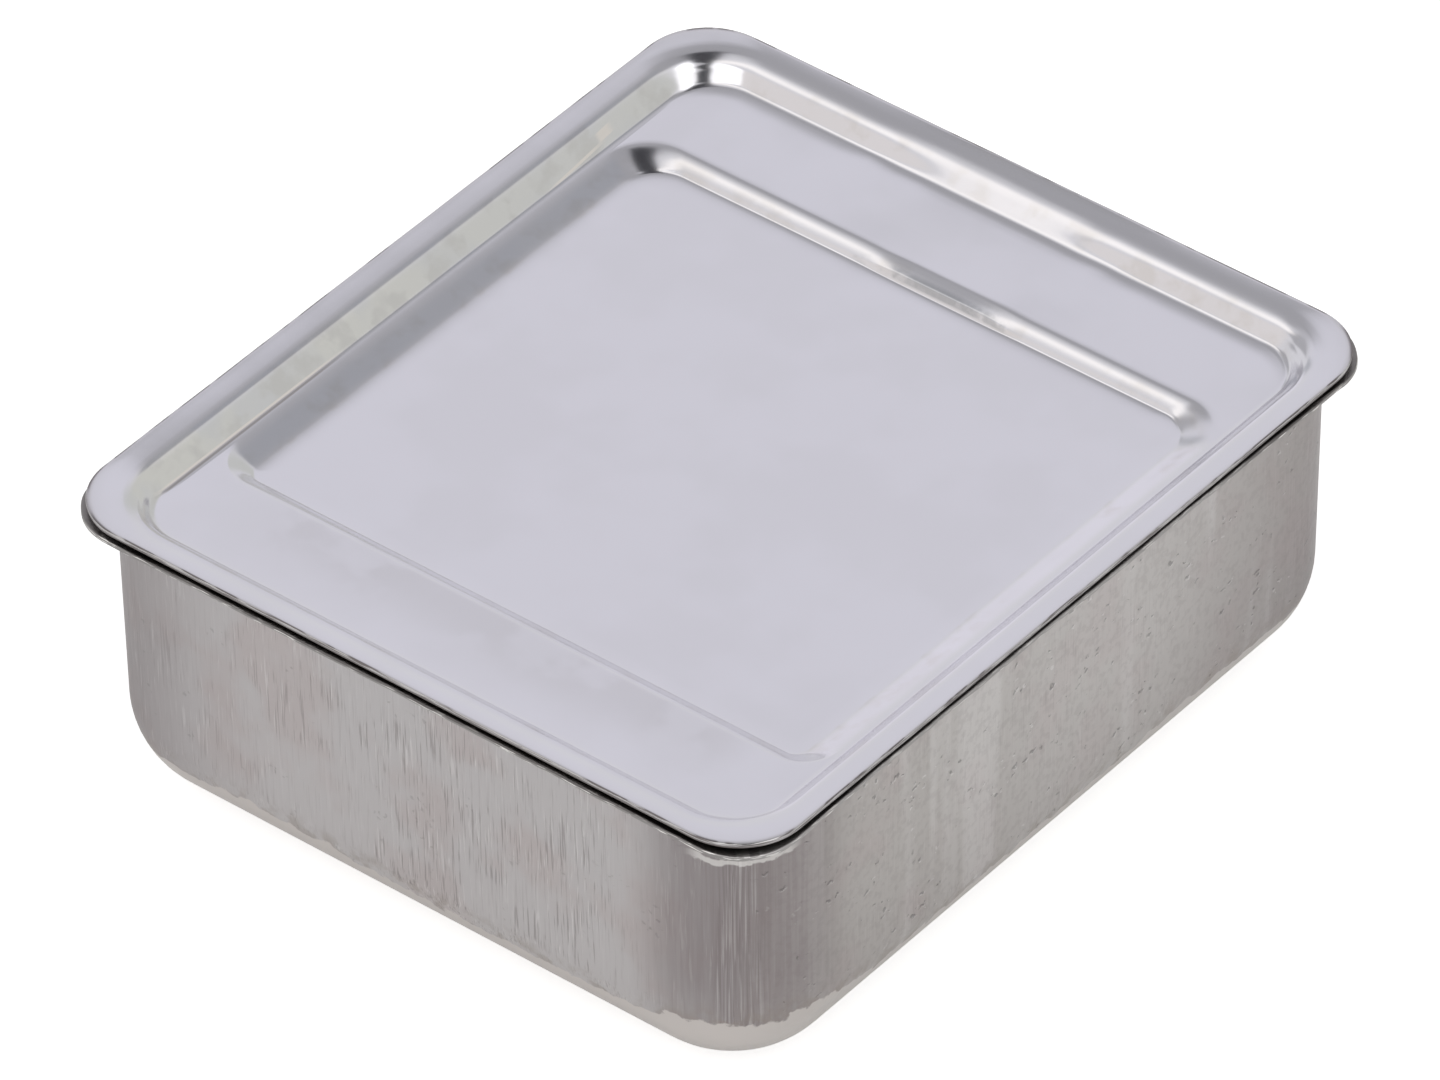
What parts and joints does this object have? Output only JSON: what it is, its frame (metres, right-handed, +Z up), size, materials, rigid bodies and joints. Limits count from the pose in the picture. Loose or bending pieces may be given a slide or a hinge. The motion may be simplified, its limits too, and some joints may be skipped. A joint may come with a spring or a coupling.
{
  "type": "shielded enclosure",
  "caption": "Shallow rectangular metal shielding case: a deep-drawn can with a narrow flange, and a pressed cover with a stepped, sunken panel that plugs into it.",
  "frame": {"origin": "centre of the underside of the can's base", "axes": "+Z is up, out of the can's mouth; +Y is along the longer side; +X is along the shorter side"},
  "size_m": [0.0502, 0.0578, 0.0201],
  "materials": {
    "can_sheet": "tinned steel sheet, satin and faintly scratched upright by the deep drawing",
    "cover_sheet": "tinned steel sheet, smooth and bright, with soft reflections"
  },
  "bodies": {
    "can": {"can": "can_sheet"},
    "cover": {"cover": "cover_sheet"}
  },
  "joints": [
    {"name": "cover_lift", "type": "slide", "parent": "can", "child": "cover", "axis": [0, 0, 1], "range_m": [0, 0.04]}
  ]
}
